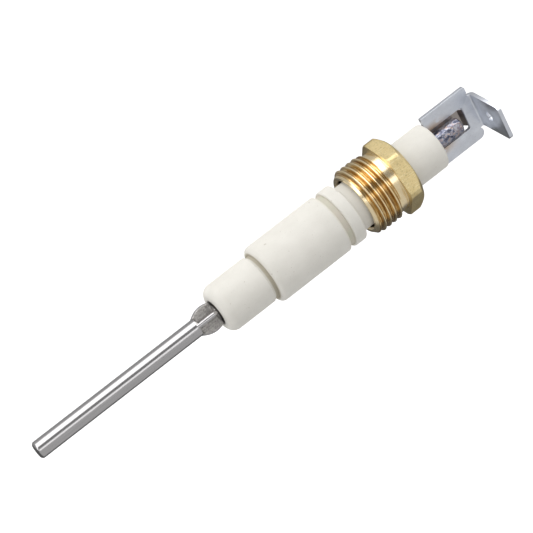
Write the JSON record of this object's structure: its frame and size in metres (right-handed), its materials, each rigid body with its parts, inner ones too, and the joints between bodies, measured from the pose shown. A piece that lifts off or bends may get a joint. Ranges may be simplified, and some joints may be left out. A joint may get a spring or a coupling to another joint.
{
  "type": "flame sensor probe",
  "caption": "Flame sensing electrode: a straight steel rod staked in a stepped ceramic insulator, with a loose brass gland nut and a bent spade terminal at the rear.",
  "frame": {"origin": "On the probe's axis, midway along the insulator's barrel, which centres the probe in its holder.", "axes": "+X runs along the probe from the tip of the rod towards the terminal. +Z is the way the terminal's tab points. +Y completes the right-handed frame."},
  "size_m": [0.105, 0.015, 0.0172],
  "materials": {
    "ceramic": "unglazed matte off-white technical ceramic with fine specks",
    "rod_steel": "bright drawn heat-resisting steel, heat-tinted beside the weld",
    "nut_brass": "turned bright brass, satin hexagon",
    "plated_sheet": "satin plated sheet steel"
  },
  "bodies": {
    "electrode": {"electrode_rod": "rod_steel", "terminal_bracket": "plated_sheet"},
    "insulator": {"ceramic_insulator": "ceramic"},
    "nut": {"gland_nut": "nut_brass"}
  },
  "joints": [
    {"name": "insulator_turn", "type": "hinge", "parent": "electrode", "child": "insulator", "pos_m": [0, 0, 0], "axis": [1, 0, 0], "continuous": true},
    {"name": "nut_slide", "type": "slide", "parent": "insulator", "child": "nut", "axis": [1, 0, 0], "range_m": [-0.002, 0.0079]}
  ]
}
